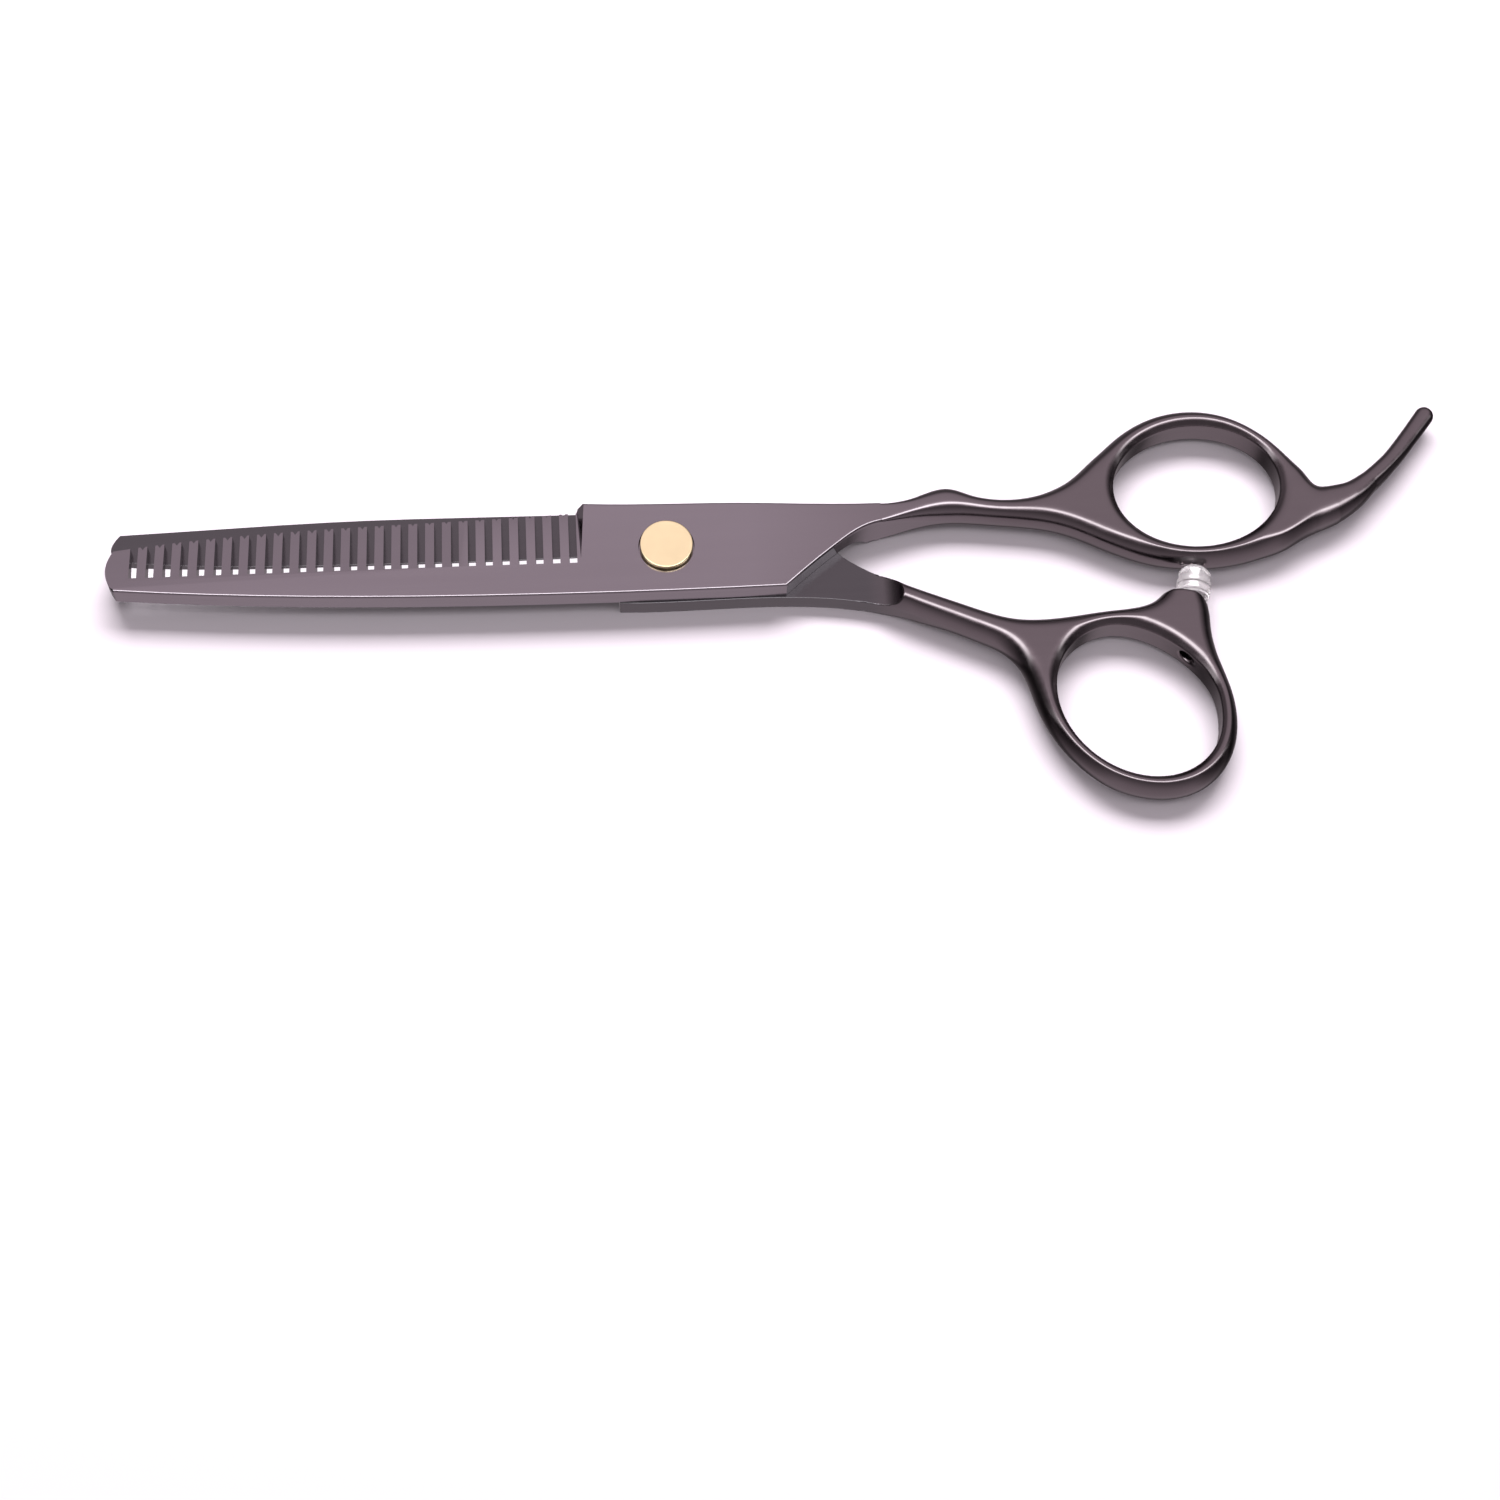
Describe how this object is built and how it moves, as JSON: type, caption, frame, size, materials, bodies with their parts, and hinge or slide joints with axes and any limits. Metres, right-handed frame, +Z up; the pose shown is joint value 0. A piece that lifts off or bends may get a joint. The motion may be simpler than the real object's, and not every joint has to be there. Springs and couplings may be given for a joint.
{
  "type": "thinning shears",
  "caption": "Hair thinning shears: a comb blade with a finger ring and curved tang, a plain blade with a thumb ring, a flat gold tension pivot and a clear bumper between the rings.",
  "frame": {"origin": "under the middle of the bounding box, on the surface the closed shears lie on", "axes": "+X from the blade tips to the tang end, +Y from the thumb ring towards the finger ring, +Z up out of the comb blade's outer face"},
  "size_m": [0.1746, 0.0548, 0.0062],
  "materials": {
    "coated_blade": "dark gunmetal coating over a fine lengthwise brushed surface",
    "coated_handle": "dark brown-grey coating, smooth satin to polished",
    "gold_plate": "pale gold plate, fine satin",
    "screw_steel": "plain turned steel",
    "bushing_brass": "plain turned brass",
    "ride_polymer": "pale slippery polymer",
    "clear_silicone": "milky clear silicone"
  },
  "bodies": {
    "comb_half": {"comb_blade": "coated_blade", "finger_handle": "coated_handle", "pivot_cap": "gold_plate"},
    "plain_half": {"plain_blade": "coated_blade", "thumb_handle": "coated_handle", "bumper": "clear_silicone", "pivot_bushing": "bushing_brass", "ride_washer": "ride_polymer", "head_washer": "screw_steel", "spring_washer": "screw_steel"},
    "tension_screw_body": {"tension_screw": "screw_steel"}
  },
  "joints": [
    {"name": "pivot", "type": "hinge", "parent": "comb_half", "child": "plain_half", "pos_m": [-0.01553, 0.00991, 0.0027], "axis": [0, 0, -1], "range_deg": [0, 135]},
    {"name": "tension", "type": "hinge", "parent": "comb_half", "child": "tension_screw_body", "pos_m": [-0.01553, 0.00991, 0.001], "axis": [0, 0, 1], "range_deg": [-90, 90]}
  ]
}
